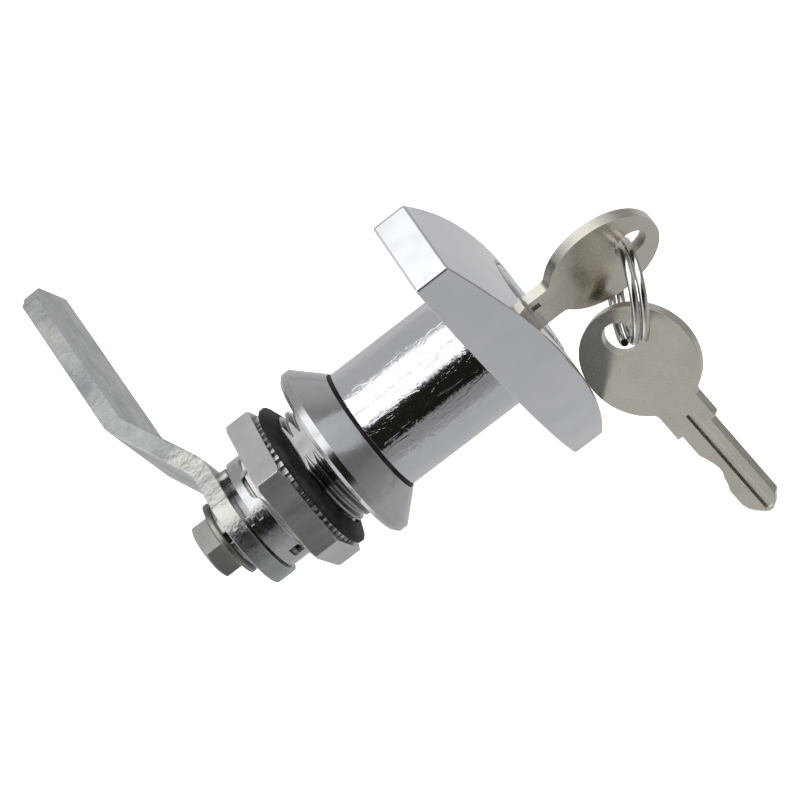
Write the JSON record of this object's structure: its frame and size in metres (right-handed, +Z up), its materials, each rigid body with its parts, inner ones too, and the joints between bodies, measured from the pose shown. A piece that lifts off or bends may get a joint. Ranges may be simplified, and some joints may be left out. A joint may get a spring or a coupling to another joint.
{
  "type": "t-handle cam lock",
  "caption": "Chrome T-handle cam lock with a keyed cylinder in the handle, a threaded body for a panel hole, a cranked cam arm, and keys on a split ring.",
  "frame": {"origin": "centre of the collar's panel seat, on the lock axis: the panel's outer face lies in the plane Y = 0", "axes": "+Y along the lock axis into the cabinet, -Y to the user; +Z up along the handle bar at rest; +X along the cam arm at rest"},
  "size_m": [0.1052, 0.0975, 0.0786],
  "materials": {
    "chrome_plated": "bright chrome plating on die-cast zinc, slightly wavy under the shine",
    "black_rubber": "black moulded rubber",
    "nut_plated": "satin nickel plating on a turned and milled nut",
    "washer_steel": "plated spring steel",
    "acetal": "natural acetal",
    "zinc_plated": "clear blue zinc plating, mottled on the bends",
    "inner_steel": "bright turned steel",
    "cylinder_zinc": "satin nickel plating on die-cast zinc",
    "brass_wafer": "stamped brass",
    "nickel": "nickel-plated steel, warm grey, lightly rubbed",
    "ring_nickel": "nickel-plated spring wire"
  },
  "bodies": {
    "lock_body": {"lock_housing": "chrome_plated", "neck_seal": "black_rubber", "panel_gasket": "black_rubber", "tooth_washer": "washer_steel", "hex_nut": "nut_plated", "thrust_washer": "acetal"},
    "handle": {"handle_grip": "chrome_plated", "drive_spindle": "inner_steel", "spindle_cross_pin": "inner_steel", "stop_dowel": "inner_steel", "circlip": "washer_steel", "cam": "zinc_plated", "cam_stop_pin": "zinc_plated", "spring_washer": "zinc_plated", "cam_bolt": "zinc_plated", "cylinder_shell": "cylinder_zinc", "cylinder_pin": "inner_steel"},
    "plug": {"key_plug": "cylinder_zinc", "wafer_1": "brass_wafer", "wafer_2": "brass_wafer", "wafer_3": "brass_wafer", "wafer_4": "brass_wafer", "wafer_5": "brass_wafer", "wafer_springs": "washer_steel", "plug_clip": "washer_steel", "driver": "inner_steel"},
    "slug": {"locking_slug": "inner_steel"},
    "key": {"key_1": "nickel"},
    "ring": {"split_ring": "ring_nickel"},
    "spare_key": {"key_2": "nickel"}
  },
  "joints": [
    {"name": "handle_turn", "type": "hinge", "parent": "lock_body", "child": "handle", "pos_m": [0, 0, 0], "axis": [0, 1, 0], "range_deg": [0, 90]},
    {"name": "plug_turn", "type": "hinge", "parent": "handle", "child": "plug", "pos_m": [0, -0.03, 0], "axis": [0, 1, 0], "range_deg": [0, 90]},
    {"name": "slug_slide", "type": "slide", "parent": "handle", "child": "slug", "axis": [1, 0, 0], "range_m": [0, 0.0016]},
    {"name": "key_slide", "type": "slide", "parent": "plug", "child": "key", "axis": [0, -1, 0], "range_m": [0, 0.024]},
    {"name": "ring_swing", "type": "hinge", "parent": "key", "child": "ring", "pos_m": [0.00012, -0.05894, -0.00147], "axis": [-0.8076, -0.0215, 0.5894], "range_deg": [0, 45]},
    {"name": "spare_key_swing", "type": "hinge", "parent": "ring", "child": "spare_key", "pos_m": [-0.00638, -0.04999, -0.01382], "axis": [0.9109, -0.1883, -0.3671], "range_deg": [-35, 0]}
  ],
  "couplings": [
    {"joint": "slug_slide", "follows": "plug_turn", "m_per_rad": 0.0010185}
  ]
}
